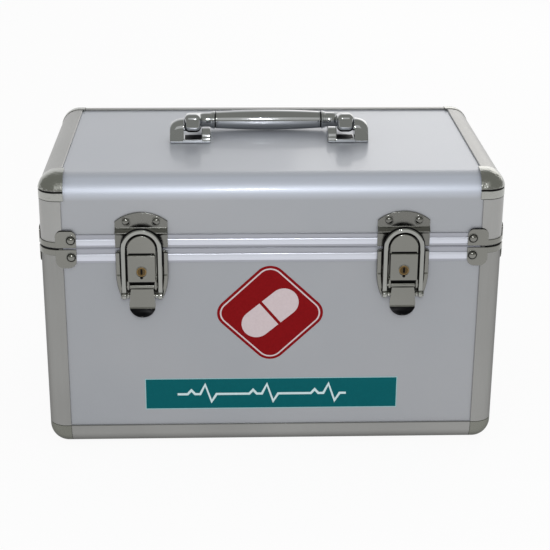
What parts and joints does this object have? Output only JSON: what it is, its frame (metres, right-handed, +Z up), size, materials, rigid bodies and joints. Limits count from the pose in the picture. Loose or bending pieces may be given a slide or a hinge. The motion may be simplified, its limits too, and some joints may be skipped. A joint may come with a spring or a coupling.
{
  "type": "medication lock box",
  "caption": "Aluminium-framed medicine case with a hinged lid, keyed toggle latches on the front, a folding top handle and a lift-out tray.",
  "frame": {"origin": "on the plane the case stands on, under the middle of the whole footprint, front latches and back hinges included", "axes": "+X towards the right as seen from the front, +Y from the front to the hinged back, +Z up"},
  "size_m": [0.359, 0.2349, 0.2468],
  "materials": {
    "panel": "semi-gloss aluminium sheet faced on board",
    "edge": "satin anodised extrusion",
    "rail": "satin anodised, beaded",
    "nickel": "nickel-plated pressed steel",
    "chrome": "bright chrome plating",
    "brass": "turned brass key cylinder",
    "lining": "dark foam-backed lining",
    "tray": "matt moulded plastic",
    "print_red": "red printed badge film",
    "print_teal": "teal printed band film",
    "dark_trim": "black lever lip, keyways and shadow grooves"
  },
  "bodies": {
    "base": {"front_panel": "panel", "right_panel": "panel", "back_panel": "panel", "left_panel": "panel", "floor_panel": "panel", "bottom_edge_front": "edge", "bottom_edge_right": "edge", "bottom_edge_back": "edge", "bottom_edge_left": "edge", "corner_post_front_left": "edge", "corner_post_front_right": "edge", "corner_post_back_right": "edge", "corner_post_back_left": "edge", "bottom_corner_front_left": "edge", "bottom_corner_front_right": "edge", "bottom_corner_back_right": "edge", "bottom_corner_back_left": "edge", "base_clip_front_left": "nickel", "base_clip_front_right": "nickel", "base_clip_back_right": "nickel", "base_clip_back_left": "nickel", "base_rim_frame": "rail", "lining": "lining", "latch_plate_left": "nickel", "latch_plate_right": "nickel", "hinge_base_leaf_left": "nickel", "hinge_base_leaf_right": "nickel"},
    "lid": {"lid_panel": "panel", "lid_end_panel_right": "panel", "lid_end_panel_left": "panel", "lid_rim_frame": "rail", "lid_pad": "lining", "lid_post_front_left": "edge", "lid_post_front_right": "edge", "lid_post_back_right": "edge", "lid_post_back_left": "edge", "lid_edge_right": "edge", "lid_edge_left": "edge", "lid_corner_front_left": "chrome", "lid_corner_front_right": "chrome", "lid_corner_back_right": "chrome", "lid_corner_back_left": "chrome", "lid_clip_front_left": "nickel", "lid_clip_front_right": "nickel", "lid_clip_back_right": "nickel", "lid_clip_back_left": "nickel", "latch_keeper_left": "nickel", "latch_keeper_right": "nickel", "hinge_lid_leaf_left": "nickel", "hinge_lid_leaf_right": "nickel", "handle_mount_left": "chrome", "handle_mount_right": "chrome"},
    "carry_handle": {"handle": "chrome"},
    "lever_left": {"latch_lever_left": "nickel"},
    "lever_right": {"latch_lever_right": "nickel"},
    "bail_left": {"latch_bail_left": "chrome"},
    "bail_right": {"latch_bail_right": "chrome"},
    "lock_left": {"lock_cylinder_left": "brass"},
    "lock_right": {"lock_cylinder_right": "brass"},
    "tray": {"lift_out_tray": "tray"}
  },
  "joints": [
    {"name": "lid_hinge", "type": "hinge", "parent": "base", "child": "lid", "pos_m": [0, 0.1145, 0.1684], "axis": [-1, 0, 0], "range_deg": [0, 95]},
    {"name": "handle_fold", "type": "hinge", "parent": "lid", "child": "carry_handle", "pos_m": [0, -0.0023, 0.2349], "axis": [1, 0, 0], "range_deg": [0, 100]},
    {"name": "lever_left_pull", "type": "hinge", "parent": "base", "child": "lever_left", "pos_m": [-0.1, -0.1112, 0.1398], "axis": [-1, 0, 0], "range_deg": [0, 95]},
    {"name": "lever_right_pull", "type": "hinge", "parent": "base", "child": "lever_right", "pos_m": [0.1, -0.1112, 0.1398], "axis": [-1, 0, 0], "range_deg": [0, 95]},
    {"name": "bail_left_swing", "type": "hinge", "parent": "lever_left", "child": "bail_left", "pos_m": [-0.1, -0.1116, 0.1323], "axis": [-1, 0, 0], "range_deg": [-110, 0]},
    {"name": "bail_right_swing", "type": "hinge", "parent": "lever_right", "child": "bail_right", "pos_m": [0.1, -0.1116, 0.1323], "axis": [-1, 0, 0], "range_deg": [-110, 0]},
    {"name": "lock_left_turn", "type": "hinge", "parent": "base", "child": "lock_left", "pos_m": [-0.1, -0.1126, 0.1531], "axis": [0, 1, 0], "range_deg": [0, 90]},
    {"name": "lock_right_turn", "type": "hinge", "parent": "base", "child": "lock_right", "pos_m": [0.1, -0.1126, 0.1531], "axis": [0, 1, 0], "range_deg": [0, 90]},
    {"name": "tray_lift", "type": "slide", "parent": "base", "child": "tray", "axis": [0, 0, 1], "range_m": [0, 0.036]}
  ],
  "couplings": [
    {"joint": "bail_left_swing", "follows": "lever_left_pull", "ratio": -1.15},
    {"joint": "bail_right_swing", "follows": "lever_right_pull", "ratio": -1.15}
  ]
}
